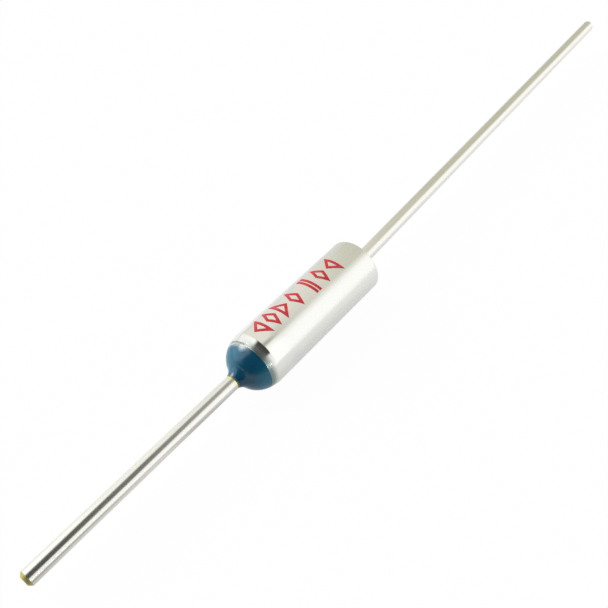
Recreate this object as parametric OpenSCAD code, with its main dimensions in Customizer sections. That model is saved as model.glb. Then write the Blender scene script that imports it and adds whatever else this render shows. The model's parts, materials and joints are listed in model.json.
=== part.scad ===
// Axial thermal fuse: a one-shot cut-off that opens for good at its set temperature.
// A sealed metal case holds a meltable pellet, two springs and a sliding star contact.
// The part is turned about the X axis. The closed end and the case lead point to +X,
// the resin seal and the isolated lead to -X. The origin is the middle of the straight barrel.
// Profiles are lists of [radius, x] points.

/* [Case] */
// Outside diameter of the case
case_d = 4; // [3.7:0.1:5]
// Length of the case, from the closed end to the top of the curled rim
case_len = 11.5; // [10.8:0.1:14]
// Wall thickness of the barrel
case_wall = 0.3; // [0.24:0.01:0.36]
// Thickness of the closed end
base_t = 0.5; // [0.3:0.05:0.8]
// Radius of the outer edge of the closed end
base_edge_r = 0.15; // [0.05:0.01:0.3]
// Wall thickness of the thinned skirt that holds the bushing
skirt_wall = 0.2; // [0.14:0.01:0.22]

/* [Mouth] */
// Radius of the bend from the barrel into the drawn-in shoulder
shoulder_r = 0.3; // [0.25:0.01:0.5]
// Slope of the shoulder
shoulder_deg = 13; // [8:1:16]
// Depth to which the shoulder is drawn in before its rim curls
shoulder_drop = 0.14; // [0.06:0.01:0.2]
// Outside radius of the curled rim
curl_r = 0.45; // [0.35:0.01:0.6]

/* [Leads] */
// Diameter of the lead wire
lead_d = 1; // [0.8:0.05:1.2]
// Length of the isolated lead outside the seal
isolated_lead_len = 15.6; // [10:0.1:60]
// Length of the case lead outside the closed end
case_lead_len = 40.5; // [10:0.1:60]
// Angle by which the case lead leans from the axis
case_lead_lean = 1.7; // [0:0.1:3]
// Direction of that lean round the axis, from +Y towards +Z
case_lead_lean_dir = 28; // [0:1:359]
// Bevel on the trimmed end of the isolated lead
isolated_end_bevel = 0.2; // [0.05:0.05:0.3]
// Bevel on the trimmed end of the case lead
case_end_bevel = 0.1; // [0.05:0.05:0.3]
// Diameter of the stem of the case lead, a close fit in the closed end
stem_d = 1.4; // [1.3:0.05:1.6]
// Height of the stem above the closed end
stem_h = 0.15; // [0.1:0.05:0.4]
// Diameter of the rivet head that holds the stem
rivet_d = 2; // [1.8:0.1:2.4]
// Thickness of the rivet head
rivet_t = 0.3; // [0.2:0.05:0.5]
// Diameter of the flange inside on the isolated lead
flange_d = 1.6; // [1.4:0.05:1.7]
// Thickness of the flange
flange_t = 0.25; // [0.15:0.05:0.4]
// Length of the contact tip past the flange
tip_len = 0.45; // [0.3:0.05:0.6]
// Edge radius of the contact tip
tip_edge_r = 0.2; // [0.1:0.05:0.3]
// Diameter of the upset collar that locks the isolated lead in the bushing
collar_d = 1.4; // [1.3:0.05:1.6]
// Length of the upset collar
collar_len = 0.5; // [0.3:0.05:0.7]
// Taper of the isolated lead in the resin, from its collar to the tip of the seal
root_deg = 4; // [2:0.5:6]

/* [Seal] */
// Height of the resin seal above the curled rim
seal_h = 1.35; // [1.2:0.05:1.9]
// Place of the seal's edge on the curled rim, as the angle the rim has turned there
seal_edge_deg = 22; // [18:1:40]
// Angle at which the resin stands on the rim
seal_contact_deg = 2; // [1:1:8]
// Radius of the meniscus at the isolated lead
meniscus_r = 1; // [0.6:0.05:1.2]
// Angle at which the meniscus meets the isolated lead
meniscus_deg = 14; // [10:1:25]

/* [Bushing] */
// Length of the ceramic body between its seat and the seal
bushing_len = 1.9; // [1.6:0.1:2.4]
// Diameter of the nose that carries the isolated lead
nose_d = 1.7; // [1.6:0.05:1.9]
// Length of the nose
nose_len = 1.1; // [0.8:0.1:1.4]
// Radial clearance of the lead in the bushing
lead_gap = 0.02; // [0.01:0.01:0.05]

/* [Star contact] */
// Thickness of the contact sheet
star_t = 0.12; // [0.08:0.01:0.16]
// Outer bend radius at the root of the fingers
star_bend_r = 0.5; // [0.35:0.05:0.6]
// Length of the fingers that slide on the case wall
finger_len = 0.4; // [0.2:0.05:0.6]
// Number of fingers
finger_count = 8; // [5:1:12]
// Width of the slots between the fingers
finger_gap = 0.25; // [0.15:0.05:0.35]
// Depth to which the slots cut into the flat of the contact
slot_depth = 0.15; // [0.05:0.05:0.3]
// Thickness of the two pressure discs
disc_t = 0.2; // [0.12:0.02:0.3]

/* [Pellet] */
// Length of the thermal pellet
pellet_len = 2.6; // [2:0.1:3.2]
// Bevel on both edges of the pellet
pellet_bevel = 0.1; // [0.05:0.05:0.2]
// Clearance of the pellet, and of the disc on it, in the case
pellet_gap = 0.04; // [0.02:0.01:0.08]

/* [Springs] */
// Wire diameter of the bias spring
bias_wire = 0.36; // [0.28:0.02:0.38]
// Turns of the bias spring
bias_turns = 5; // [4:0.5:5.5]
// Clearance of the bias spring's widest turn in the case
bias_gap = 0.2; // [0.1:0.02:0.3]
// Wire diameter of the trip spring
trip_wire = 0.2; // [0.14:0.01:0.22]
// Turns of the trip spring
trip_turns = 4; // [3:0.5:4.5]
// Clearance of the trip spring round the flange
trip_gap = 0.1; // [0.05:0.01:0.15]

/* [Hidden] */

$fn = 64;
arc_steps = 10;
coil_steps = 20;
wire_sides = 8;
// Share of a turn that lies flat at each end of a spring
dead_turn = 0.6;

// Radii of the case, its bore and its parts
case_r = case_d / 2;
bore_r = case_r - case_wall;
skirt_r = case_r - skirt_wall;
lead_r = lead_d / 2;
stem_r = stem_d / 2;
rivet_r = rivet_d / 2;
flange_r = flange_d / 2;
collar_r = collar_d / 2;
nose_r = nose_d / 2;
star_flat_r = bore_r - star_bend_r;

// The mouth: a bend, a straight slope and the tight curl of the rim
slope_len = (shoulder_drop - shoulder_r * (1 - cos(shoulder_deg))) / sin(shoulder_deg);
mouth_len = (shoulder_r - curl_r) * sin(shoulder_deg) + slope_len * cos(shoulder_deg) + curl_r;
barrel_len = case_len - base_edge_r - mouth_len;
x_mouth = -barrel_len / 2;
x_rim = x_mouth - mouth_len;
shoulder_c = [case_r - shoulder_r, x_mouth];
slope_c = shoulder_c + slope_len * turn(shoulder_deg + 90);
curl_c = slope_c + (shoulder_r - curl_r) * turn(shoulder_deg);

// Stations along the axis, from the closed end to the seal
x_base = barrel_len / 2 + base_edge_r;
x_floor = x_base - base_t;
x_pellet = x_floor - pellet_len;
x_bias = x_pellet - disc_t;
x_face = x_rim + skirt_wall;
x_seat = x_face + bushing_len;
x_nose = x_seat + nose_len;
x_flange = x_nose + flange_t;
x_contact = x_flange + tip_len;
x_star = x_contact + star_t;
x_contact_disc = x_star + disc_t;
x_collar = x_face - collar_len;
x_seal_tip = x_rim - seal_h;
x_isolated_end = x_seal_tip - isolated_lead_len;
x_stem = x_base + stem_h;

// Radius of the isolated lead where its taper meets the collar
root_r = lead_r + (x_collar - x_seal_tip) * tan(root_deg);

// The seal's flank: an arc that leaves the rim at the contact angle and runs into the meniscus
seal_edge = curl_c + curl_r * turn(seal_edge_deg);
flank_deg = seal_edge_deg - seal_contact_deg;
meniscus_c = [lead_r, x_seal_tip] + meniscus_r * turn(meniscus_deg);
flank_run = seal_edge - meniscus_c;
flank_reach = meniscus_r + flank_run * turn(flank_deg);
flank_r = (flank_run * flank_run - meniscus_r * meniscus_r) / (2 * flank_reach);
flank_c = seal_edge - flank_r * turn(flank_deg);
flank_end_deg = atan2(flank_c[1] - meniscus_c[1], meniscus_c[0] - flank_c[0]);

// Direction in a profile: 0 points away from the axis, 90 points to -X
function turn(deg) = [cos(deg), -sin(deg)];

// Points of an arc in a profile. One that carries on from an arc before it starts at point 1.
function arc(centre, radius, from_deg, to_deg, start = 0) = [
    for (i = [start : arc_steps])
        centre + radius * turn(from_deg + (to_deg - from_deg) * i / arc_steps)
];

// The mouth's section, from the barrel to the edge of the curled rim, inset from the outer face
function mouth(inset) = concat(
    arc(shoulder_c, shoulder_r - inset, 0, shoulder_deg),
    arc(curl_c, curl_r - inset, shoulder_deg, seal_edge_deg),
    arc(curl_c, curl_r - inset, seal_edge_deg, 90, 1)
);

function reversed(points) = [for (i = [len(points) - 1 : -1 : 0]) points[i]];

// A solid turned about the X axis
module turned(profile) {
    rotate([0, 90, 0])
        rotate_extrude()
            polygon(profile);
}

// A spring of round wire about the X axis, from x_from to x_to, with a flat dead coil at each end.
// The coil's mean radius goes from r_from to r_to and swells by bulge halfway.
module coil(x_from, x_to, r_from, r_to, bulge, wire, turns) {
    rings = turns * coil_steps;
    function rise(i) = min(1, max(0, (i / coil_steps - dead_turn) / (turns - 2 * dead_turn)));
    function mean_r(t) = r_from + (r_to - r_from) * t + bulge * sin(180 * t);
    points = [
        for (i = [0 : rings], j = [0 : wire_sides - 1])
            let (
                t = rise(i),
                side = 360 * j / wire_sides,
                x = x_from + wire / 2 + (x_to - x_from - wire) * t + wire / 2 * sin(side),
                r = mean_r(t) + wire / 2 * cos(side),
                at = 360 * i / coil_steps
            )
            [x, r * cos(at), r * sin(at)]
    ];
    sides = [
        for (i = [0 : rings - 1], j = [0 : wire_sides - 1])
            let (
                a = i * wire_sides + j,
                b = i * wire_sides + (j + 1) % wire_sides
            )
            [a, b, b + wire_sides, a + wire_sides]
    ];
    first = [for (j = [wire_sides - 1 : -1 : 0]) j];
    last = [for (j = [0 : wire_sides - 1]) rings * wire_sides + j];
    polyhedron(points, concat(sides, [first, last]));
}

// Drawn can: thick floor, ledge for the bushing and a thin skirt that is rolled in over it
module case() {
    base_edge = arc([case_r - base_edge_r, x_base - base_edge_r], base_edge_r, -90, 0);
    bore = [[skirt_r, x_seat], [bore_r, x_seat], [bore_r, x_floor], [stem_r, x_floor], [stem_r, x_base]];
    color("silver")
        turned(concat(base_edge, mouth(0), reversed(mouth(skirt_wall)), bore));
}

// Tinned wire, headed to a stem that is riveted over inside the floor of the case
module case_lead() {
    wire_len = case_lead_len - stem_h;
    color("gainsboro")
        union() {
            turned([
                [0, x_floor - rivet_t], [rivet_r - rivet_t / 2, x_floor - rivet_t],
                [rivet_r, x_floor - rivet_t / 2], [rivet_r, x_floor],
                [stem_r, x_floor], [stem_r, x_stem], [0, x_stem]
            ]);
            translate([x_stem, 0, 0])
                rotate([case_lead_lean_dir, 0, 0])
                    rotate([0, 0, case_lead_lean])
                        turned([
                            [0, -base_t], [lead_r, -base_t], [lead_r, wire_len - case_end_bevel],
                            [lead_r - case_end_bevel, wire_len], [0, wire_len]
                        ]);
        }
}

// Pressed tablet that melts at the set temperature, hollowed round the rivet head
module thermal_pellet() {
    pellet_r = bore_r - pellet_gap;
    recess_r = rivet_r + pellet_gap;
    x_recess = x_floor - rivet_t - pellet_gap;
    color("wheat")
        turned([
            [0, x_recess], [recess_r, x_recess], [recess_r, x_floor],
            [pellet_r - pellet_bevel, x_floor], [pellet_r, x_floor - pellet_bevel],
            [pellet_r, x_pellet + pellet_bevel], [pellet_r - pellet_bevel, x_pellet], [0, x_pellet]
        ]);
}

// Disc that spreads the bias spring's load over the pellet
module pellet_disc() {
    color("darkkhaki")
        translate([x_bias, 0, 0])
            rotate([0, 90, 0])
                cylinder(h = disc_t, r = bore_r - pellet_gap);
}

// Strong barrel-shaped spring that holds the contact shut while the pellet is solid
module bias_spring() {
    end_r = star_flat_r - bias_wire / 2;
    middle_r = bore_r - bias_gap - bias_wire / 2;
    color("slategray")
        coil(x_contact_disc, x_bias, end_r, end_r, middle_r - end_r, bias_wire, bias_turns);
}

// Disc between the bias spring and the star contact
module contact_disc() {
    color("darkkhaki")
        translate([x_star, 0, 0])
            rotate([0, 90, 0])
                cylinder(h = disc_t, r = star_flat_r);
}

// Silvered cup with a rim cut into fingers that slide on the wall of the case
module star_contact() {
    bend_c = [star_flat_r, x_star - star_bend_r];
    x_fingers = bend_c[1] - finger_len;
    outside = arc(bend_c, star_bend_r, -90, 0);
    inside = arc(bend_c, star_bend_r - star_t, 0, -90);
    slot_from = star_flat_r - slot_depth;
    slot_size = [x_star - x_fingers + 2 * star_t, finger_gap, bore_r];
    color("lightgray")
        difference() {
            turned(concat(
                [[0, x_contact], [0, x_star]], outside,
                [[bore_r, x_fingers], [bore_r - star_t, x_fingers]], inside
            ));
            for (i = [0 : finger_count - 1])
                rotate([360 * i / finger_count, 0, 0])
                    translate([x_fingers - star_t, -finger_gap / 2, slot_from])
                        cube(slot_size);
        }
}

// Weak cone-shaped spring that pushes the contact off the lead once the pellet has melted
module trip_spring() {
    seat_r = (nose_r + bore_r) / 2;
    star_r = flange_r + trip_gap + trip_wire / 2;
    color("lightslategray")
        coil(x_seat, x_contact, seat_r, star_r, 0, trip_wire, trip_turns);
}

// Ceramic insulator that sits on the ledge under the rolled rim and carries the isolated lead
module ceramic_bushing() {
    bushing_bore_r = lead_r + lead_gap;
    bore = [[bushing_bore_r, x_face], [bushing_bore_r, x_nose], [nose_r, x_nose]];
    seat = [[nose_r, x_seat], [skirt_r, x_seat]];
    color("ivory")
        turned(concat(bore, seat, mouth(skirt_wall)));
}

// Tinned wire with a contact tip and flange inside, locked on the bushing by an upset collar
module isolated_lead() {
    tip = arc([lead_r - tip_edge_r, x_contact - tip_edge_r], tip_edge_r, -90, 0);
    flange = [[lead_r, x_flange], [flange_r, x_flange], [flange_r, x_nose], [lead_r, x_nose]];
    collar = [[lead_r, x_face], [collar_r, x_face], [collar_r, x_collar]];
    root = [[root_r, x_collar], [lead_r, x_seal_tip]];
    trimmed = [
        [lead_r, x_isolated_end + isolated_end_bevel],
        [lead_r - isolated_end_bevel, x_isolated_end], [0, x_isolated_end]
    ];
    color("gainsboro")
        turned(concat([[0, x_contact]], tip, flange, collar, root, trimmed));
}

// Potting resin that closes the mouth, from the curled rim up to its meniscus on the lead
module epoxy_seal() {
    meniscus = arc(meniscus_c, -meniscus_r, meniscus_deg, flank_end_deg);
    flank = arc(flank_c, flank_r, flank_end_deg, flank_deg, 1);
    rim = arc(curl_c, curl_r, seal_edge_deg, 90, 1);
    bottom = [[curl_c[0], x_face], [collar_r, x_face], [collar_r, x_collar], [root_r, x_collar]];
    color("#103a55")
        turned(concat(meniscus, flank, rim, bottom));
}

case();
case_lead();
thermal_pellet();
pellet_disc();
bias_spring();
contact_disc();
star_contact();
trip_spring();
ceramic_bushing();
isolated_lead();
epoxy_seal();
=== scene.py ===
# %% [markdown]
# # An axial thermal fuse on a white sweep
# A thermal fuse is a small plated can with a wire at each end. Inside, a pellet holds a spring
# contact shut; when the pellet melts, the contact opens for good. This lesson dresses the packed
# CAD part: it turns smooth pieces over the four visible solids, prints the case, and gives every
# piece a finish made of nodes. All lengths are metres, in the CAD part's own frame: X is the
# turning axis, with the closed end at +X and the resin at -X, and Z is up.

# %% Load the CAD part as the fixed frame
import json
from math import acos, atan2, cos, degrees, pi, radians, sin, tan

import bmesh
import bpy
from mathutils import Matrix, Vector


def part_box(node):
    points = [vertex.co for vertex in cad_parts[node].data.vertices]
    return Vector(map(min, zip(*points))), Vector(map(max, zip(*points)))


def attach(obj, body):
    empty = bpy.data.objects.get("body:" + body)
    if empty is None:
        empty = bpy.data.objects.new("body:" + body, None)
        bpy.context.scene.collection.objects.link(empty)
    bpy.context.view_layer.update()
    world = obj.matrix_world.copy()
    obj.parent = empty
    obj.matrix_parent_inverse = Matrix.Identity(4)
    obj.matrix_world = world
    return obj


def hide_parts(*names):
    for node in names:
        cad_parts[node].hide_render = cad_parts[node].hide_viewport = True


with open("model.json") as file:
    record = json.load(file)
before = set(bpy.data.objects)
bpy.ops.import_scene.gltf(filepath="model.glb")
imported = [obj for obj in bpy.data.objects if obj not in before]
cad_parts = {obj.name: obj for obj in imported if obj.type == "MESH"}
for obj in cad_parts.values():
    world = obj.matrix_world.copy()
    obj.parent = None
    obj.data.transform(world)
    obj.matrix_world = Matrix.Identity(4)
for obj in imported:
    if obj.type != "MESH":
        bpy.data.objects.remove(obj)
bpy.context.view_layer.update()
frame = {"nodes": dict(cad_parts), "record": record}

MM = 0.001

# %% [markdown]
# ## Sizes that come from the frame
# The smooth pieces have to land on the solids, so the scene asks the frame for sizes. The record's
# mounts state the barrel and the two wires, and the boxes of the nodes give the stations along the
# axis. What the frame does not state, such as the radius of a bend, is repeated from the CAD source
# where it is first needed.

# %% Read radii and stations from the frame
mounts = {mount["name"]: mount for mount in frame["record"]["mounts"]}
case_r = mounts["barrel"]["dims"]["r_mm"] * MM
lead_r = mounts["isolated_lead_end"]["dims"]["r_mm"] * MM
barrel_end = mounts["barrel"]["dims"]["length_mm"] * MM / 2
x_mouth = -barrel_end

x_rim, x_base = (corner.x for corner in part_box("case"))
x_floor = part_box("thermal_pellet")[1].x
x_face, x_nose = (corner.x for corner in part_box("ceramic_bushing"))
x_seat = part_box("trip_spring")[0].x
x_seal_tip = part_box("epoxy_seal")[0].x
x_isolated_end, x_contact = (corner.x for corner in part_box("isolated_lead"))
x_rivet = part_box("case_lead")[0].x
bore_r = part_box("star_contact")[1].z

base_edge_r = x_base - barrel_end
skirt_wall = x_face - x_rim
print(f"case {2 * case_r / MM:.2f} mm across and {(x_base - x_rim) / MM:.2f} mm long")

# %% [markdown]
# ## A pen and a lathe
# Every visible piece of this fuse was turned, drawn or poured round one axis, so one method
# serves them all. A pen draws half of the section in the XZ plane, where Z is the radius: a
# straight stroke extrudes the last vertex, and a curved stroke spins it about a centre. The
# lathe then spins the whole section once round X. Modelling with cylinders and booleans could
# give the same forms, but a section drawn in one go keeps the curves tangent and the mesh clean.

# %% Pen and lathe
weld_dist = 0.0002 * MM


def line_to(bm, pen, *places):
    """Draws straight strokes from the pen's vertex to each (x, radius) and returns the last one."""
    for x, r in places:
        pen = bmesh.ops.extrude_vert_indiv(bm, verts=[pen])["verts"][0]
        pen.co = (x, 0, r)
    return pen


def arc_about(bm, pen, centre, turn, steps):
    """Spins the pen's vertex about an (x, radius) centre. A positive turn goes from up to +X."""
    spun = bmesh.ops.spin(bm, geom=[pen], cent=(centre[0], 0, centre[1]), axis=(0, 1, 0),
                          angle=radians(turn), steps=steps, use_duplicate=False)
    return [part for part in spun["geom_last"] if isinstance(part, bmesh.types.BMVert)][0]


def lathe(bm, steps):
    """Spins the drawn section once round X and closes its seam and poles."""
    bmesh.ops.spin(bm, geom=bm.verts[:] + bm.edges[:], cent=(0, 0, 0), axis=(1, 0, 0),
                   angle=2 * pi, steps=steps, use_merge=True, use_duplicate=False)
    bmesh.ops.remove_doubles(bm, verts=bm.verts[:], dist=weld_dist)
    bmesh.ops.recalc_face_normals(bm, faces=bm.faces[:])


print(f"the lathe welds what lies within {weld_dist / MM:.4f} mm")

# %% [markdown]
# ## From a mesh to a piece of the fuse
# A bmesh can be seen only when it is written into a mesh that an object carries. Each piece is
# shaded smooth, but edges that turn by more than 32 degrees stay crisp, as on cut or folded
# metal.

# %% Make a piece
sharp_deg = 32


def make_piece(bm, name, slot, *nodes):
    """Turns a bmesh into a shaded object that rides the fuse's one body."""
    mesh = bpy.data.meshes.new(name)
    bm.to_mesh(mesh)
    bm.free()
    mesh.shade_smooth()
    mesh.set_sharp_from_angle(angle=radians(sharp_deg))
    piece = bpy.data.objects.new(name, mesh)
    bpy.context.scene.collection.objects.link(piece)
    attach(piece, "root")
    if nodes:
        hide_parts(*nodes)
    print(f"{name}: {len(mesh.polygons)} faces")
    return piece


print(f"edges over {sharp_deg} degrees stay sharp")

# %% [markdown]
# ## One way to write materials
# A finish is a small network of nodes. One function adds a node, sets its options and fills its
# inputs with numbers or with links from other nodes. Colours are written as the sRGB hex values
# a designer would pick, and one function turns them into the linear numbers that light uses.

# %% Colour and node helpers
def linear(hex_colour):
    """An sRGB hex colour as linear RGBA."""
    shares = [int(hex_colour[i:i + 2], 16) / 255 for i in (1, 3, 5)]
    return [c / 12.92 if c <= 0.04045 else ((c + 0.055) / 1.055) ** 2.4 for c in shares] + [1.0]


def add(tree, kind, inputs=None, **settings):
    """Adds a node with its settings, and sets or links its inputs. A node links its first output."""
    node = tree.nodes.new(kind)
    for name, value in settings.items():
        setattr(node, name, value)
    for socket, value in (inputs or {}).items():
        if isinstance(value, bpy.types.Node):
            value = [output for output in value.outputs if output.enabled][0]
        if isinstance(value, bpy.types.NodeSocket):
            tree.links.new(value, node.inputs[socket])
        else:
            node.inputs[socket].default_value = value
    return node


def new_material(name):
    """A node material and its empty tree, ready to be filled."""
    material = bpy.data.materials.new(name)
    material.use_nodes = True
    material.node_tree.nodes.clear()
    return material, material.node_tree


print(f"a middle grey of #808080 is {linear('#808080')[0]:.3f} in linear light")

# %% [markdown]
# ## The case
# The can is drawn from brass sheet and plated. Its floor is thick and flat with a small rounded
# edge, the barrel is straight, and the open end is thinned to a skirt that a spinning tool lays
# over the ceramic bushing: a crisp bend, a short slope and a tight curl. The section is drawn
# with its inner wall too, because a real can has one, and a shell with thickness stays closed.

# %% Work out the mouth
stem_r = 0.7 * MM
shoulder_r = 0.3 * MM
shoulder_deg = 13
curl_r = 0.45 * MM
skirt_r = case_r - skirt_wall
slope = radians(shoulder_deg)
slope_len = (x_mouth - x_rim - curl_r + (curl_r - shoulder_r) * sin(slope)) / cos(slope)


def aside(turn):
    """Unit step in a section, turned from straight up towards -X."""
    return Vector((-sin(radians(turn)), cos(radians(turn))))


shoulder_c = Vector((x_mouth, case_r - shoulder_r))
slope_c = shoulder_c + slope_len * aside(shoulder_deg + 90)
curl_c = slope_c + (shoulder_r - curl_r) * aside(shoulder_deg)
print(f"the slope of the mouth is {slope_len / MM:.2f} mm long")

# %% Turn the case
bm = bmesh.new()
pen = bm.verts.new((x_base, 0, stem_r))
pen = line_to(bm, pen, (x_base, case_r - base_edge_r))
pen = arc_about(bm, pen, (x_base - base_edge_r, case_r - base_edge_r), -90, 10)
pen = line_to(bm, pen, (x_mouth, case_r))
pen = arc_about(bm, pen, shoulder_c, -shoulder_deg, 8)
pen = line_to(bm, pen, curl_c + curl_r * aside(shoulder_deg))
pen = arc_about(bm, pen, curl_c, shoulder_deg - 90, 24)
pen = line_to(bm, pen, (x_face, curl_c.y))
pen = arc_about(bm, pen, curl_c, 90 - shoulder_deg, 24)
pen = line_to(bm, pen, shoulder_c + (shoulder_r - skirt_wall) * aside(shoulder_deg))
pen = arc_about(bm, pen, shoulder_c, shoulder_deg, 8)
pen = line_to(bm, pen, (x_seat, skirt_r), (x_seat, bore_r), (x_floor, bore_r), (x_floor, stem_r),
              (x_base, stem_r))
lathe(bm, 192)
case_shell = make_piece(bm, "case_shell", "plated_case", "case")

# %% [markdown]
# ### Its plating
# The barrel has a satin bright plate: it mirrors the room as a soft band, a little broken by the
# marks of drawing, which run along the can. A noise stretched along X puts these streaks into the
# colour, the roughness and the relief. They are drawn about 0.15 mm wide, coarser than real ones,
# because finer ones would not show.

# %% Streaks of the drawn can
satin_plate, tree = new_material("satin_plated_brass")
place = add(tree, "ShaderNodeTexCoord").outputs["Object"]
at = add(tree, "ShaderNodeSeparateXYZ", {"Vector": place}).outputs
streak_width = 0.15 * MM
streak_length = 4.0 * MM
stretched = add(tree, "ShaderNodeMapping",
                {"Vector": place, "Scale": (1 / streak_length, 1 / streak_width, 1 / streak_width)})
streaks = add(tree, "ShaderNodeTexNoise", {"Vector": stretched, "Scale": 1.0, "Detail": 3.0})
satin = add(tree, "ShaderNodeMapRange",
            {"Value": streaks, "From Min": 0.3, "From Max": 0.7, "To Min": 0.2, "To Max": 0.3})
plate = add(tree, "ShaderNodeMix", {"Factor": streaks, "A": linear("#eeeeea"), "B": linear("#f5f5f2")},
            data_type="RGBA")
relief = add(tree, "ShaderNodeBump", {"Height": streaks, "Strength": 0.04, "Distance": 0.02 * MM})
print(f"streaks {streak_width / MM:.2f} mm wide and {streak_length / MM:.0f} mm long on the can")

# %% [markdown]
# ### Its burnished mouth
# The spinning tool has burnished the mouth, so there the plate is nearly a mirror. Resin has crept over
# its slope in a thin, dull film. It is laid on mostly on the side that faces us, where its grey-green is
# also painted shade that darkens the mirrored rim. At the back it has left a thin grey seam along the
# rim. Fades along X and Y place the burnish and the two coats, and one loop lays both coats over the
# plate.

# %% Place the burnish and the two coats
burnish_from = x_mouth + 1.6 * MM
burnish_full = x_mouth + 0.3 * MM
film_from = x_mouth - 0.15 * MM
film_full = x_mouth - 0.6 * MM
seam_width = 0.08 * MM
mirror_roughness = 0.07

unburnished = add(tree, "ShaderNodeMapRange",
                  {"Value": at["X"], "From Min": burnish_full, "From Max": burnish_from},
                  interpolation_type="SMOOTHSTEP")
polish = add(tree, "ShaderNodeMix", {"Factor": unburnished, "A": mirror_roughness, "B": satin},
             data_type="FLOAT")
creep = add(tree, "ShaderNodeMapRange", {"Value": at["X"], "From Min": film_from, "From Max": film_full},
            interpolation_type="SMOOTHSTEP")
# Painted shade: the film is strongest on the side that faces us, where it darkens the mirrored rim.
low_side = add(tree, "ShaderNodeMapRange",
               {"Value": at["Y"], "From Min": 0.7 * MM, "From Max": -0.6 * MM,
                "To Min": 0.1, "To Max": 1.0})
film_and_painted_shade = add(tree, "ShaderNodeMath", {0: creep, 1: low_side}, operation="MULTIPLY")
at_rim = add(tree, "ShaderNodeMapRange",
             {"Value": at["X"], "From Min": curl_c.x, "From Max": curl_c.x - seam_width},
             interpolation_type="SMOOTHSTEP")
high_side = add(tree, "ShaderNodeMapRange",
                {"Value": at["Y"], "From Min": -0.1 * MM, "From Max": 0.4 * MM, "To Max": 0.9})
seam = add(tree, "ShaderNodeMath", {0: at_rim, 1: high_side}, operation="MULTIPLY")
print(f"the film starts {(x_mouth - film_from) / MM:.2f} mm past the bend of the mouth")

# %% Lay the coats over the plate
colour, metallic, roughness = plate, 1.0, polish
for coat, coat_colour, coat_metallic, coat_roughness in ((film_and_painted_shade, "#8f9d98", 0.8, 0.3),
                                                         (seam, "#858880", 0.1, 0.45)):
    colour = add(tree, "ShaderNodeMix", {"Factor": coat, "A": colour, "B": linear(coat_colour)},
                 data_type="RGBA")
    metallic = add(tree, "ShaderNodeMix", {"Factor": coat, "A": metallic, "B": coat_metallic},
                   data_type="FLOAT")
    roughness = add(tree, "ShaderNodeMix", {"Factor": coat, "A": roughness, "B": coat_roughness},
                    data_type="FLOAT")
metal = add(tree, "ShaderNodeBsdfPrincipled",
            {"Base Color": colour, "Metallic": metallic, "Roughness": roughness, "Normal": relief})
add(tree, "ShaderNodeOutputMaterial", {"Surface": metal})
case_shell.data.materials.append(satin_plate)
print("plated the case")

# %% [markdown]
# ## The red print
# A fuse carries its rating in red ink along the can. Here the same band holds plain marks
# instead of words: triangles, diamonds and bars, as large and as far apart as such a print. Each
# mark starts flat, from a created circle or grid; on an outline, an inset leaves the stroke. The
# whole sheet is then cut into narrow strips, thickened and rolled round the case.

# %% Two kinds of flat marks
mark_w = 0.86 * MM
mark_h = 1.82 * MM
stroke = 0.2 * MM


def outline_mark(sheet, centre, sides, turn):
    """A regular outline of a few sides, stretched to the size of a mark."""
    verts = bmesh.ops.create_circle(sheet, cap_ends=True, segments=sides, radius=0.5,
                                    matrix=Matrix.Rotation(radians(turn), 4, "Z"))["verts"]
    left, right = min(v.co.x for v in verts), max(v.co.x for v in verts)
    low, high = min(v.co.y for v in verts), max(v.co.y for v in verts)
    bmesh.ops.translate(sheet, vec=(-(left + right) / 2, -(low + high) / 2, 0), verts=verts)
    bmesh.ops.scale(sheet, vec=(mark_w / (right - left), mark_h / (high - low), 1), verts=verts)
    bmesh.ops.translate(sheet, vec=(centre, 0, 0), verts=verts)
    face = verts[0].link_faces[0]
    bmesh.ops.inset_region(sheet, faces=[face], thickness=stroke, use_boundary=True,
                           use_even_offset=True)
    bmesh.ops.delete(sheet, geom=[face], context="FACES")


def bar_mark(sheet, centre):
    """A plain upright bar of ink."""
    verts = bmesh.ops.create_grid(sheet, x_segments=1, y_segments=1, size=0.5)["verts"]
    bmesh.ops.scale(sheet, vec=(stroke, mark_h, 1), verts=verts)
    bmesh.ops.translate(sheet, vec=(centre, 0, 0), verts=verts)


print(f"a mark is {mark_w / MM:.2f} mm wide and {mark_h / MM:.2f} mm high")

# %% Draw the row of marks
pitch = 1.1 * MM
group_gap = 0.42 * MM
print_start = -4.37 * MM
bar_shift = 0.75 * stroke
# Each outline has its number of sides and its turn in degrees.
triangle = (3, 90)
flipped_triangle = (3, -90)
diamond = (4, 0)

places = [print_start + i * pitch + (group_gap if i > 3 else 0) for i in range(7)]
outlines = {0: triangle, 1: diamond, 2: flipped_triangle, 3: diamond, 5: diamond, 6: triangle}
sheet = bmesh.new()
for index, (sides, turn) in outlines.items():
    outline_mark(sheet, places[index], sides, turn)
for shift in (-bar_shift, bar_shift):
    bar_mark(sheet, places[4] + shift)
print(f"{len(places)} marks over {(places[-1] - places[0] + mark_w) / MM:.1f} mm")

# %% [markdown]
# ### Roll the print round the case
# Flat ink laid on a round can must bend with it. Bisecting the sheet every 2 degrees gives it
# enough edges to bend, extruding gives the film a thickness, and each vertex is then carried
# from its flat place to the same arc length round the barrel. The row slants a little, by part of
# a degree for each millimetre along the can.

# %% Roll the film
film_t = 0.012 * MM
film_sink = 0.01 * MM
print_deg = 99.5
slant_deg_per_mm = -0.7
strip_deg = 2
strips_each_way = 20

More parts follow.
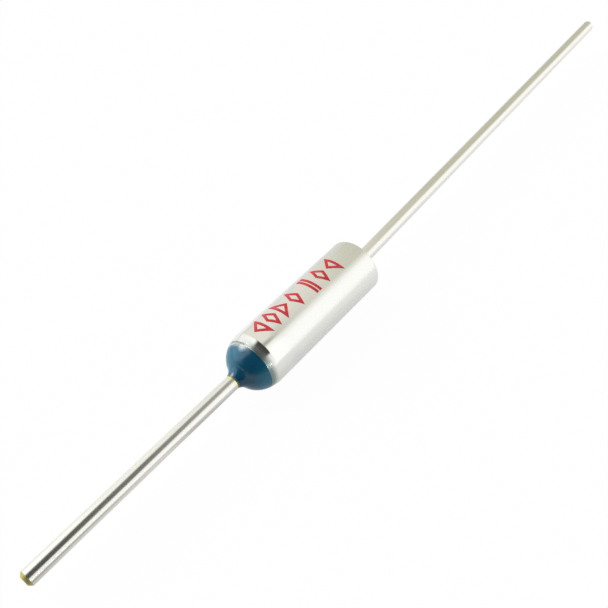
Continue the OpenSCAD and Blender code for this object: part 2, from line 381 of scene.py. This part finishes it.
strip = radians(strip_deg) * case_r
for k in range(-strips_each_way, strips_each_way + 1):
    bmesh.ops.bisect_plane(sheet, geom=sheet.verts[:] + sheet.edges[:] + sheet.faces[:],
                           plane_co=(0, k * strip, 0), plane_no=(0, 1, 0), dist=1e-9)
bmesh.ops.recalc_face_normals(sheet, faces=sheet.faces[:])
bmesh.ops.translate(sheet, vec=(0, 0, case_r - film_sink), verts=sheet.verts[:])
raised = bmesh.ops.extrude_face_region(sheet, geom=sheet.faces[:], use_keep_orig=True)
top = [part for part in raised["geom"] if isinstance(part, bmesh.types.BMVert)]
bmesh.ops.translate(sheet, vec=(0, 0, film_sink + film_t), verts=top)
for v in sheet.verts:
    angle = radians(print_deg) + v.co.y / case_r + radians(slant_deg_per_mm) * v.co.x / MM
    v.co = (v.co.x, -v.co.z * cos(angle), v.co.z * sin(angle))
bmesh.ops.recalc_face_normals(sheet, faces=sheet.faces[:])
case_print = make_piece(sheet, "case_print", "plated_case")

# %% [markdown]
# ### Red pad ink
# Pad-printed ink is a thin, slightly glossy paint. It never lies quite evenly: where it is thin
# the bright metal makes it pinker. A soft noise of about half a millimetre mixes a full red with
# that pinker one.

# %% Red ink
red_ink, tree = new_material("red_pad_ink")
place = add(tree, "ShaderNodeTexCoord").outputs["Object"]
patch_size = 0.5 * MM
patches = add(tree, "ShaderNodeTexNoise", {"Vector": place, "Scale": 1 / patch_size, "Detail": 3.0})
thin = add(tree, "ShaderNodeMapRange", {"Value": patches, "From Min": 0.45, "From Max": 0.75})
ink = add(tree, "ShaderNodeMix", {"Factor": thin, "A": linear("#c81d28"), "B": linear("#d4465c")},
          data_type="RGBA")
paint = add(tree, "ShaderNodeBsdfPrincipled", {"Base Color": ink, "Roughness": 0.45, "IOR": 1.48})
add(tree, "ShaderNodeOutputMaterial", {"Surface": paint})
case_print.data.materials.append(red_ink)
print("printed the case")

# %% [markdown]
# ## The resin seal
# Blue epoxy is dropped on the mouth and cures as it lies: it covers the curled rim, domes over it
# and then climbs the wire in a meniscus. Two tangent arcs give that flank: the meniscus has a
# chosen radius, and the dome takes the one radius that meets both it and the edge on the rim. The
# section goes on underneath, over the rim, the bushing and the collar of the wire.

# %% Work out the two arcs of the flank
seal_edge_deg = 22
seal_contact_deg = 2
meniscus_r = 1.0 * MM
meniscus_deg = 14

flank_deg = seal_edge_deg - seal_contact_deg
seal_edge = curl_c + curl_r * aside(seal_edge_deg)
meniscus_c = Vector((x_seal_tip, lead_r)) + meniscus_r * aside(meniscus_deg)
flank_run = seal_edge - meniscus_c
flank_reach = meniscus_r + flank_run.dot(aside(flank_deg))
flank_r = (flank_run.length_squared - meniscus_r ** 2) / (2 * flank_reach)
flank_c = seal_edge - flank_r * aside(flank_deg)
flank_end_deg = degrees(atan2(flank_c.x - meniscus_c.x, meniscus_c.y - flank_c.y))
print(f"the dome has a radius of {flank_r / MM:.2f} mm and the meniscus {meniscus_r / MM:.2f} mm")

# %% Turn the seal
collar_r = 0.7 * MM
collar_len = 0.5 * MM
root_deg = 4
x_collar = x_face - collar_len
root_r = lead_r + (x_collar - x_seal_tip) * tan(radians(root_deg))

bm = bmesh.new()
pen = bm.verts.new((x_seal_tip, 0, lead_r))
pen = arc_about(bm, pen, meniscus_c, meniscus_deg - flank_end_deg, 20)
pen = arc_about(bm, pen, flank_c, flank_end_deg - flank_deg, 28)
pen = arc_about(bm, pen, curl_c, seal_edge_deg - 90, 16)
pen = line_to(bm, pen, (x_face, curl_c.y), (x_face, collar_r), (x_collar, collar_r),
              (x_collar, root_r), (x_seal_tip, lead_r))
lathe(bm, 144)
resin_seal = make_piece(bm, "resin_seal", "blue_resin", "epoxy_seal")

# %% [markdown]
# ### Its epoxy
# Cast epoxy is a dark blue plastic with a surface as smooth as it flowed. What the eye sees is
# the deep colour where it mirrors something dark, and a veil of white where it mirrors the tent.
# Both flanks of its crown are painted a lighter blue, which stands in for the light that falls on them.
# On the wire it runs out in an olive feather, and at the back its sheer edge shows the bright rim
# through, with a painted glare laid on it.

# %% Where the layer thins and where light is painted on it
blue_epoxy, tree = new_material("poured_blue_epoxy")
place = add(tree, "ShaderNodeTexCoord").outputs["Object"]
at = add(tree, "ShaderNodeSeparateXYZ", {"Vector": place}).outputs
crown_y = -0.6 * MM
sheer_width = 0.32 * MM

from_crown = add(tree, "ShaderNodeMath", {0: at["Y"], 1: crown_y}, operation="SUBTRACT")
off_crown = add(tree, "ShaderNodeMath", {0: from_crown}, operation="ABSOLUTE")
# Painted light: the flanks either side of the crown get a lighter blue.
painted_flank_light = add(tree, "ShaderNodeMapRange",
              {"Value": off_crown, "From Min": 0.3 * MM, "From Max": 1.1 * MM})
feather = add(tree, "ShaderNodeMapRange",
              {"Value": at["X"], "From Min": x_seal_tip + 0.14 * MM, "From Max": x_seal_tip + 0.03 * MM},
              interpolation_type="SMOOTHSTEP")
# The sheer edge at the back is partly the rim showing through and partly a painted glare.
at_edge = add(tree, "ShaderNodeMapRange",
              {"Value": at["X"], "From Min": seal_edge.x - sheer_width, "From Max": seal_edge.x},
              interpolation_type="SMOOTHSTEP")
at_back = add(tree, "ShaderNodeMapRange",
              {"Value": at["Y"], "From Min": -0.2 * MM, "From Max": 0.4 * MM, "To Max": 0.85})
sheer_edge_and_glare = add(tree, "ShaderNodeMath", {0: at_edge, 1: at_back}, operation="MULTIPLY")
print(f"the resin turns sheer over its last {sheer_width / MM:.2f} mm")

# %% [markdown]
# ### Its colour and gloss
# The blue starts deep and takes on the tone of each place in turn: the painted light on the flanks, the
# olive feather, and the sheer edge with its painted glare. A faint swell, about half a millimetre
# across, varies the blue and the gloss and bumps the surface, which keeps the mirror from being perfect.

# %% Poured blue epoxy
swell_size = 0.6 * MM
swell = add(tree, "ShaderNodeTexNoise", {"Vector": place, "Scale": 1 / swell_size, "Detail": 2.0})
colour = add(tree, "ShaderNodeMix", {"Factor": swell, "A": linear("#07445f"), "B": linear("#0d4c69")},
             data_type="RGBA")
for toned_place, tone in ((painted_flank_light, "#0d6784"), (feather, "#777b3a"), (sheer_edge_and_glare, "#c3cac8")):
    colour = add(tree, "ShaderNodeMix", {"Factor": toned_place, "A": colour, "B": linear(tone)},
                 data_type="RGBA")
gloss = add(tree, "ShaderNodeMapRange", {"Value": swell, "To Min": 0.08, "To Max": 0.16})
relief = add(tree, "ShaderNodeBump", {"Height": swell, "Strength": 0.06, "Distance": 0.05 * MM})
resin = add(tree, "ShaderNodeBsdfPrincipled",
            {"Base Color": colour, "IOR": 1.5, "Roughness": gloss, "Normal": relief})
add(tree, "ShaderNodeOutputMaterial", {"Surface": resin})
resin_seal.data.materials.append(blue_epoxy)
print("poured the seal")

# %% [markdown]
# ## The isolated wire
# The short wire passes through the bushing. Inside it ends in a rounded contact tip behind a
# flange; in the resin an upset collar locks it, and from there it tapers to its plain diameter.
# Its free end was sheared off and shows the metal under the tin, so those faces get their own
# material slot.

# %% Turn the isolated wire
flange_r = 0.8 * MM
flange_t = 0.25 * MM
tip_edge_r = 0.2 * MM
isolated_bevel = 0.2 * MM
x_flange = x_nose + flange_t

bm = bmesh.new()
pen = bm.verts.new((x_contact, 0, 0))
pen = line_to(bm, pen, (x_contact, lead_r - tip_edge_r))
pen = arc_about(bm, pen, (x_contact - tip_edge_r, lead_r - tip_edge_r), -90, 8)
pen = line_to(bm, pen, (x_flange, lead_r), (x_flange, flange_r), (x_nose, flange_r), (x_nose, lead_r),
              (x_face, lead_r), (x_face, collar_r), (x_collar, collar_r), (x_collar, root_r),
              (x_seal_tip, lead_r), (x_isolated_end + isolated_bevel, lead_r),
              (x_isolated_end, lead_r - isolated_bevel), (x_isolated_end, 0))
lathe(bm, 96)
for face in bm.faces:
    face.material_index = int(face.calc_center_median().x < x_isolated_end + isolated_bevel)
isolated_wire = make_piece(bm, "isolated_wire", "tinned_wire", "isolated_lead")

# %% [markdown]
# ## The case wire
# The long wire has a thick stem that is riveted over inside the floor of the can. It leaves the
# can with a slight lean from handling, which the record states as the axis of its mount. The
# wire is turned straight and its outer part is then rotated about the foot of the lean.

# %% Turn the case wire
rivet_r = 1.0 * MM
stem_h = 0.15 * MM
case_end_bevel = 0.1 * MM
x_stem = x_base + stem_h
wire_len = mounts["case_lead_end"]["dims"]["length_mm"] * MM + case_end_bevel
x_case_end = x_stem + wire_len
rivet_edge = (x_floor - x_rivet) / 2

bm = bmesh.new()
pen = bm.verts.new((x_rivet, 0, 0))
pen = line_to(bm, pen, (x_rivet, rivet_r - rivet_edge), (x_rivet + rivet_edge, rivet_r),
              (x_floor, rivet_r), (x_floor, stem_r), (x_stem, stem_r), (x_stem, lead_r),
              (x_case_end - case_end_bevel, lead_r), (x_case_end, lead_r - case_end_bevel),
              (x_case_end, 0))
lathe(bm, 96)
for face in bm.faces:
    face.material_index = int(face.calc_center_median().x > x_case_end - case_end_bevel)
print(f"the case wire is {wire_len / MM:.2f} mm long outside its stem")

# %% Lean the case wire
slack = 0.01 * MM
wire_axis = Vector(mounts["case_lead_end"]["axis"])
leaning = [v for v in bm.verts if v.co.x > x_stem - slack and v.co.yz.length < stem_r - slack]
lean = Vector((1, 0, 0)).rotation_difference(wire_axis).to_matrix()
bmesh.ops.rotate(bm, cent=(x_stem, 0, 0), matrix=lean, verts=leaning)
case_wire = make_piece(bm, "case_wire", "tinned_wire", "case_lead")

# %% [markdown]
# ### Tinned wire
# The copper wire is hot-dipped in tin, which freezes as a bright, faintly uneven skin: long soft
# streaks along the wire where it was drawn out of the bath. Beside the resin, a yellowish stain
# has run out over the short wire. A fade along X places it, and the long wire is left out.

# %% Hot-dipped tin
bright_tin, tree = new_material("hot_dipped_tin")
place = add(tree, "ShaderNodeTexCoord").outputs["Object"]
at = add(tree, "ShaderNodeSeparateXYZ", {"Vector": place}).outputs
streak_width = 0.25 * MM
streak_length = 6.0 * MM
stretched = add(tree, "ShaderNodeMapping",
                {"Vector": place, "Scale": (1 / streak_length, 1 / streak_width, 1 / streak_width)})
streaks = add(tree, "ShaderNodeTexNoise", {"Vector": stretched, "Scale": 1.0, "Detail": 3.0})
tin = add(tree, "ShaderNodeMix", {"Factor": streaks, "A": linear("#e9e8e1"), "B": linear("#f4f3ee")},
          data_type="RGBA")
by_seal = add(tree, "ShaderNodeMapRange",
              {"Value": at["X"], "From Min": x_seal_tip - 0.3 * MM, "From Max": x_seal_tip - 0.05 * MM},
              interpolation_type="SMOOTHSTEP")
short_wire = add(tree, "ShaderNodeMath", {0: at["X"], 1: 0.0}, operation="LESS_THAN")
stained = add(tree, "ShaderNodeMath", {0: by_seal, 1: short_wire}, operation="MULTIPLY")
tone = add(tree, "ShaderNodeMix", {"Factor": stained, "A": tin, "B": linear("#f0eac8")},
           data_type="RGBA")
skin = add(tree, "ShaderNodeMapRange",
           {"Value": streaks, "From Min": 0.3, "From Max": 0.7, "To Min": 0.17, "To Max": 0.25})
relief = add(tree, "ShaderNodeBump", {"Height": streaks, "Strength": 0.05, "Distance": 0.02 * MM})
metal = add(tree, "ShaderNodeBsdfPrincipled",
            {"Base Color": tone, "Metallic": 1.0, "Roughness": skin, "Normal": relief})
add(tree, "ShaderNodeOutputMaterial", {"Surface": metal})
print(f"streaks {streak_width / MM:.2f} mm wide on the tin")

# %% [markdown]
# ### Its sheared ends
# A sheared end shows the copper, brassy under a smear of tin that the blade dragged over it. A
# noise of a third of a millimetre mixes the two and roughens the cut.

# %% Sheared copper
sheared_copper, tree = new_material("sheared_copper")
place = add(tree, "ShaderNodeTexCoord").outputs["Object"]
smear_size = 0.3 * MM
smears = add(tree, "ShaderNodeTexNoise", {"Vector": place, "Scale": 1 / smear_size, "Detail": 4.0})
dragged = add(tree, "ShaderNodeMapRange", {"Value": smears, "From Min": 0.45, "From Max": 0.65})
tone = add(tree, "ShaderNodeMix", {"Factor": dragged, "A": linear("#c8b94c"), "B": linear("#dcd9c0")},
           data_type="RGBA")
relief = add(tree, "ShaderNodeBump", {"Height": smears, "Strength": 0.3, "Distance": 0.03 * MM})
metal = add(tree, "ShaderNodeBsdfPrincipled",
            {"Base Color": tone, "Metallic": 1.0, "Roughness": 0.4, "Normal": relief})
add(tree, "ShaderNodeOutputMaterial", {"Surface": metal})
for wire in (isolated_wire, case_wire):
    wire.data.materials.append(bright_tin)
    wire.data.materials.append(sheared_copper)
print("tinned both wires")

# %% [markdown]
# ## The pieces inside
# The pellet, springs, contact, discs and bushing are hidden, but they are real pieces and whoever
# opens the model will see them. Their CAD meshes stay, and one loop gives each a finish: a light
# and a dark tone that a grain noise mixes, the metal share, the roughness, the size of the grain
# in millimetres and the pieces that have this finish.

# %% Finish the hidden pieces
hidden_finishes = {
    "pressed_pellet_compound": ("#dccca6", "#c9b68c", 0.0, 0.7, 0.2, ["thermal_pellet"]),
    "stamped_brass": ("#c8a85a", "#b8954a", 1.0, 0.3, 0.4, ["pellet_disc", "contact_disc"]),
    "drawn_spring_steel": ("#8e9094", "#7c7f84", 1.0, 0.32, 0.1, ["bias_spring", "trip_spring"]),
    "silver_plated_copper": ("#e6e3dc", "#d8d4ca", 1.0, 0.18, 0.3, ["star_contact"]),
    "fired_white_ceramic": ("#ebe8de", "#dcd8cc", 0.0, 0.5, 0.15, ["ceramic_bushing"]),
}
for name, (light, dark, metallic, rough, grain_mm, nodes) in hidden_finishes.items():
    material, tree = new_material(name)
    place = add(tree, "ShaderNodeTexCoord").outputs["Object"]
    grain = add(tree, "ShaderNodeTexNoise",
                {"Vector": place, "Scale": 1 / (grain_mm * MM), "Detail": 3.0})
    tone = add(tree, "ShaderNodeMix", {"Factor": grain, "A": linear(light), "B": linear(dark)},
               data_type="RGBA")
    relief = add(tree, "ShaderNodeBump", {"Height": grain, "Strength": 0.15, "Distance": 0.01 * MM})
    shader = add(tree, "ShaderNodeBsdfPrincipled",
                 {"Base Color": tone, "Metallic": metallic, "Roughness": rough, "Normal": relief})
    add(tree, "ShaderNodeOutputMaterial", {"Surface": shader})
    for node in nodes:
        frame["nodes"][node].data.materials.clear()
        frame["nodes"][node].data.materials.append(material)
    print(name, "on", ", ".join(nodes))

# %% [markdown]
# ## The floor
# The fuse lies on a white sweep of paper, far larger than the picture. One flat grid under the can
# is enough, because the camera looks down and never sees where the paper would rise.

# %% Lay the floor
floor_half = 0.6
bm = bmesh.new()
bmesh.ops.create_grid(bm, x_segments=1, y_segments=1, size=floor_half,
                      matrix=Matrix.Translation((0, 0, -case_r)))
mesh = bpy.data.meshes.new("floor")
bm.to_mesh(mesh)
bm.free()
floor = bpy.data.objects.new("floor", mesh)
bpy.context.scene.collection.objects.link(floor)
print(f"a floor of {2 * floor_half:.1f} m lies {case_r / MM:.1f} mm under the axis")

# %% [markdown]
# ### How the metal sees the floor
# In the metal the white paper is not equally bright everywhere. Close to the resin and behind the can it
# is dimmer: that is a painted shadow of the fuse on its own floor. It also grows darker towards the
# front corner at -X and -Y, and far in front it goes dark. Fades along X and Y make that brightness.

# %% Brightness of the mirrored floor
white_floor, tree = new_material("white_sweep")
place = add(tree, "ShaderNodeTexCoord").outputs["Object"]
at = add(tree, "ShaderNodeSeparateXYZ", {"Vector": place}).outputs
# Painted shadow: the mirrored glow is dimmer close to the resin and behind the can.
painted_shadow_by_resin = add(tree, "ShaderNodeMapRange",
            {"Value": at["X"], "From Min": -9 * MM, "From Max": 0.0, "To Min": 0.5, "To Max": 0.97})
lit = add(tree, "ShaderNodeMapRange",
          {"Value": at["X"], "From Min": -2 * MM, "From Max": 30 * MM, "To Min": 0.8, "To Max": 0.95})
near = add(tree, "ShaderNodeMapRange",
           {"Value": at["X"], "From Min": -12.5 * MM, "From Max": -9.5 * MM,
            "To Min": 0.75, "To Max": 0.4})
shaded = add(tree, "ShaderNodeMath", {0: painted_shadow_by_resin, 1: lit}, operation="MINIMUM")
close = add(tree, "ShaderNodeMath", {0: shaded, 1: near}, operation="MAXIMUM")

edge_x = add(tree, "ShaderNodeMapRange", {"Value": at["X"], "From Min": -12 * MM, "From Max": -18 * MM})
edge_y = add(tree, "ShaderNodeMapRange", {"Value": at["Y"], "From Min": -2.5 * MM, "From Max": -6 * MM})
corner = add(tree, "ShaderNodeMath", {0: edge_x, 1: edge_y}, operation="MULTIPLY")
darker_front_corner = add(tree, "ShaderNodeMix", {"Factor": corner, "A": close, "B": 0.3}, data_type="FLOAT")
far_off = add(tree, "ShaderNodeMapRange", {"Value": at["X"], "From Min": -20 * MM, "From Max": -30 * MM})
before = add(tree, "ShaderNodeMix", {"Factor": far_off, "A": darker_front_corner, "B": 0.0}, data_type="FLOAT")

painted_shadow_behind = add(tree, "ShaderNodeMapRange",
             {"Value": at["X"], "From Min": -2 * MM, "From Max": 14 * MM, "To Min": 1.0, "To Max": 0.65})
side = add(tree, "ShaderNodeMapRange", {"Value": at["Y"], "From Min": -1 * MM, "From Max": 1 * MM})
mirrored_floor_with_painted_shade = add(tree, "ShaderNodeMix", {"Factor": side, "A": before, "B": painted_shadow_behind}, data_type="FLOAT")
print("shaded the mirrored floor")

# %% [markdown]
# ### White paper
# The camera should see clean white, yet the fuse's shadow should stay. The floor is therefore a
# matt white surface, and for camera and mirror rays most of it is replaced by a plain white glow.
# The camera sees that glow at strength 1, and the metal sees it with the brightness made above, painted
# shadow included.

# %% White sweep
camera_share = 0.97
mirror_share = 0.72
rays = add(tree, "ShaderNodeLightPath").outputs
seen = add(tree, "ShaderNodeMath", {0: rays["Is Camera Ray"], 1: camera_share}, operation="MULTIPLY")
mirrored = add(tree, "ShaderNodeMath", {0: rays["Is Glossy Ray"], 1: mirror_share}, operation="MULTIPLY")
share = add(tree, "ShaderNodeMath", {0: seen, 1: mirrored}, operation="MAXIMUM")
strength = add(tree, "ShaderNodeMix", {"Factor": rays["Is Glossy Ray"], "A": 1.0, "B": mirrored_floor_with_painted_shade},
               data_type="FLOAT")
matt = add(tree, "ShaderNodeBsdfDiffuse", {"Color": linear("#fafaf9")})
glow = add(tree, "ShaderNodeEmission", {"Color": linear("#ffffff"), "Strength": strength})
both = add(tree, "ShaderNodeMixShader", {"Fac": share, 1: matt, 2: glow})
add(tree, "ShaderNodeOutputMaterial", {"Surface": both})
floor.data.materials.append(white_floor)
print("laid the white sweep")

# %% [markdown]
# ## The light tent
# Shiny parts are photographed in a tent of white cloth: the metal then mirrors white nearly
# everywhere. The world is that tent, written as a colour for each direction. Every direction is
# measured in three ways: along the fuse, across it to the rear, and above it, where above leans
# towards the camera.

# %% Directions in the tent
camera_azimuth = radians(-51.49)
camera_elevation = radians(48.68)
back = Vector((sin(camera_azimuth) * cos(camera_elevation),
               -cos(camera_azimuth) * cos(camera_elevation), sin(camera_elevation)))
upward = Vector((0, back.y, back.z)).normalized()
rearward = Vector((1, 0, 0)).cross(upward) * -1

world = bpy.data.worlds.new("light_tent")
bpy.context.scene.world = world
world.use_nodes = True
tree = world.node_tree
tree.nodes.clear()
way = add(tree, "ShaderNodeTexCoord").outputs["Generated"]
along = add(tree, "ShaderNodeSeparateXYZ", {"Vector": way}).outputs["X"]
across = add(tree, "ShaderNodeVectorMath", {0: way, 1: rearward}, operation="DOT_PRODUCT")
above = add(tree, "ShaderNodeVectorMath", {0: way, 1: upward}, operation="DOT_PRODUCT")
print("the camera looks in from", [round(c, 3) for c in back])

# %% [markdown]
# ### Its opening
# The opening for the camera is dark, and it shows as the dark core on the resin and the dark line
# on the near wire. Its rear and front edges change along the fuse, so each is the lowest of a few
# straight ramps. It lies overhead only, and it fades towards the far end.

# %% Edges of the opening
open_far = add(tree, "ShaderNodeMapRange",
               {"Value": along, "From Min": 0.33, "From Max": 0.49, "To Min": 0.77, "To Max": 0.25})
open_mid = add(tree, "ShaderNodeMapRange",
               {"Value": along, "From Min": -0.4, "From Max": 0.2, "To Min": 0.57, "To Max": 0.77})
open_near = add(tree, "ShaderNodeMapRange",
                {"Value": along, "From Min": -0.95, "From Max": -0.65, "To Min": 0.36, "To Max": 0.77})
open_half = add(tree, "ShaderNodeMath", {0: open_mid, 1: open_near}, operation="MINIMUM")
open_rear = add(tree, "ShaderNodeMath", {0: open_far, 1: open_half}, operation="MINIMUM")
open_slit = add(tree, "ShaderNodeMapRange",
                {"Value": along, "From Min": 0.15, "From Max": 0.42, "To Min": -0.28, "To Max": 0.2})
open_wide = add(tree, "ShaderNodeMapRange",
                {"Value": along, "From Min": -0.2, "From Max": 0.1, "To Min": -0.72, "To Max": 0.3})
open_front = add(tree, "ShaderNodeMath", {0: open_slit, 1: open_wide}, operation="MINIMUM")
to_rear = add(tree, "ShaderNodeMath", {0: open_rear, 1: across}, operation="SUBTRACT")
to_front = add(tree, "ShaderNodeMath", {0: across, 1: open_front}, operation="SUBTRACT")
margin = add(tree, "ShaderNodeMath", {0: to_rear, 1: to_front}, operation="MINIMUM")
inside = add(tree, "ShaderNodeMapRange", {"Value": margin, "From Min": -0.08, "From Max": 0.1},
             interpolation_type="SMOOTHSTEP")
print("cut the edges of the opening")

# %% Depth of the opening
tilt = add(tree, "ShaderNodeMath", {0: along, 1: -0.5, 2: above}, operation="MULTIPLY_ADD")
overhead = add(tree, "ShaderNodeMapRange", {"Value": tilt, "From Min": -0.25, "From Max": 0.05})
hole = add(tree, "ShaderNodeMath", {0: inside, 1: overhead}, operation="MULTIPLY")
depth = add(tree, "ShaderNodeMapRange",
            {"Value": along, "From Min": 0.15, "From Max": 0.36, "To Min": 1.0, "To Max": 0.55})
far_edge = add(tree, "ShaderNodeMapRange",
               {"Value": along, "From Min": 0.46, "From Max": 0.53, "To Min": 1.0, "To Max": 0.1})
fading = add(tree, "ShaderNodeMath", {0: depth, 1: far_edge}, operation="MULTIPLY")
opening = add(tree, "ShaderNodeMath", {0: hole, 1: fading}, operation="MULTIPLY")
print("the opening fades towards the far end")

# %% [markdown]
# ### Its walls
# The back wall is greyer and warmer than the front one, and the end wall more so, which makes the
# upper side of each piece duller than the side that faces us. Cloth that is lit from behind is
# brighter than paper, so these colours are plain light values, and some lie above 1.

# %% White walls
front_cloth = (1.13, 1.13, 1.12, 1)
back_cloth = (0.83, 0.82, 0.74, 1)
end_cloth = (0.58, 0.575, 0.46, 1)

rear = add(tree, "ShaderNodeMapRange", {"Value": across, "From Min": -0.15, "From Max": 0.35},
           interpolation_type="SMOOTHSTEP")
far_end = add(tree, "ShaderNodeMapRange", {"Value": along, "From Min": 0.0, "From Max": 0.45})
dull = add(tree, "ShaderNodeMath", {0: rear, 1: far_end}, operation="MULTIPLY")
sides = add(tree, "ShaderNodeMix", {"Factor": dull, "A": front_cloth, "B": back_cloth},
            data_type="RGBA")
end_wall = add(tree, "ShaderNodeMapRange", {"Value": along, "From Min": 0.585, "From Max": 0.625})
deep = add(tree, "ShaderNodeMath", {0: rear, 1: end_wall}, operation="MULTIPLY")
walls = add(tree, "ShaderNodeMix", {"Factor": deep, "A": sides, "B": end_cloth}, data_type="RGBA")
print("hung the walls")

# %% [markdown]
# ### Its lamps
# One wide lamp behind the cloth veils the rear of the resin, and the cloth is brighter towards the
# resin's end. The front of the tent lies in shade at that end, and a very small lamp puts a glint
# on the rim. Each lamp is a fade on the cosine of the angle between a direction and its own.

# %% Wide lamp and shaded front
lamp_way = (Vector((-0.18, 0, 0)) + 0.96 * rearward + 0.2 * upward).normalized()
lamp_edge = 0.93
lamp_strength = 6.5
shaded_cloth = (0.32, 0.34, 0.34, 1)

to_lamp = add(tree, "ShaderNodeVectorMath", {0: way, 1: lamp_way}, operation="DOT_PRODUCT")
lamp = add(tree, "ShaderNodeMapRange",
           {"Value": to_lamp, "From Min": lamp_edge, "From Max": 1.0, "To Max": lamp_strength},
           interpolation_type="SMOOTHSTEP")
lamp_end = add(tree, "ShaderNodeMapRange", {"Value": along, "From Min": 0.02, "From Max": -0.12})
key_side = add(tree, "ShaderNodeMapRange",
               {"Value": along, "From Min": 0.05, "From Max": -0.3, "To Min": 1.0, "To Max": 1.5})
lit_side = add(tree, "ShaderNodeMath", {0: lamp, 1: lamp_end, 2: key_side}, operation="MULTIPLY_ADD")
lit_walls = add(tree, "ShaderNodeVectorMath", {0: walls, "Scale": lit_side}, operation="SCALE")
near_end = add(tree, "ShaderNodeMapRange", {"Value": along, "From Min": 0.1, "From Max": -0.12})
front = add(tree, "ShaderNodeMapRange", {"Value": across, "From Min": 0.6, "From Max": 0.4})
shade = add(tree, "ShaderNodeMath", {0: near_end, 1: front}, operation="MULTIPLY")
cloth = add(tree, "ShaderNodeMix", {"Factor": shade, "A": lit_walls, "B": shaded_cloth},
            data_type="RGBA")
print(f"the wide lamp fades out {degrees(acos(lamp_edge)):.0f} degrees from its middle")

# %% Small lamp and the tent as a whole
spot_way = (Vector((-0.12, 0, 0)) - 0.73 * rearward + 0.67 * upward).normalized()
spot_edge = 0.997
spot_core = 0.999
spot_strength = 18.0
dark_opening = (0.06, 0.06, 0.054, 1)

to_spot = add(tree, "ShaderNodeVectorMath", {0: way, 1: spot_way}, operation="DOT_PRODUCT")
spot = add(tree, "ShaderNodeMapRange",
           {"Value": to_spot, "From Min": spot_edge, "From Max": spot_core, "To Max": spot_strength},
           interpolation_type="SMOOTHSTEP")
spotted = add(tree, "ShaderNodeVectorMath", {0: cloth, 1: spot}, operation="ADD")
tent = add(tree, "ShaderNodeMix", {"Factor": opening, "A": spotted, "B": dark_opening}, data_type="RGBA")
rays = add(tree, "ShaderNodeLightPath").outputs
shown = add(tree, "ShaderNodeMix", {"Factor": rays["Is Camera Ray"], "A": tent, "B": linear("#ffffff")},
            data_type="RGBA")
sky = add(tree, "ShaderNodeBackground", {"Color": shown, "Strength": 1.0})
add(tree, "ShaderNodeOutputWorld", {"Surface": sky})
print("hung the tent; camera rays just see white")

# %% [markdown]
# ## The camera
# The photograph looks down along the near wire from close by, so the near wire is thick and the
# far one thin. The place comes from fitting the fuse's own sizes to the outline in the
# photograph; the lens follows from the focal length in pixels of a square image.

# %% Camera
camera_distance = 49.26 * MM
camera_aim = Vector((0.07, 0.424, 0.24)) * MM
focal_px = 740
image_px = 608
sensor_mm = 36

camera_data = bpy.data.cameras.new("camera")
camera_data.sensor_width = sensor_mm
camera_data.lens = focal_px / image_px * sensor_mm
camera_data.clip_start = 1 * MM
camera = bpy.data.objects.new("camera", camera_data)
camera.location = camera_aim + camera_distance * back
camera.rotation_euler = back.to_track_quat("Z", "Y").to_euler()
bpy.context.scene.collection.objects.link(camera)
bpy.context.scene.camera = camera
bpy.context.scene.view_settings.view_transform = "Standard"
print(f"camera {camera_distance / MM:.1f} mm away with a {camera_data.lens:.1f} mm lens")
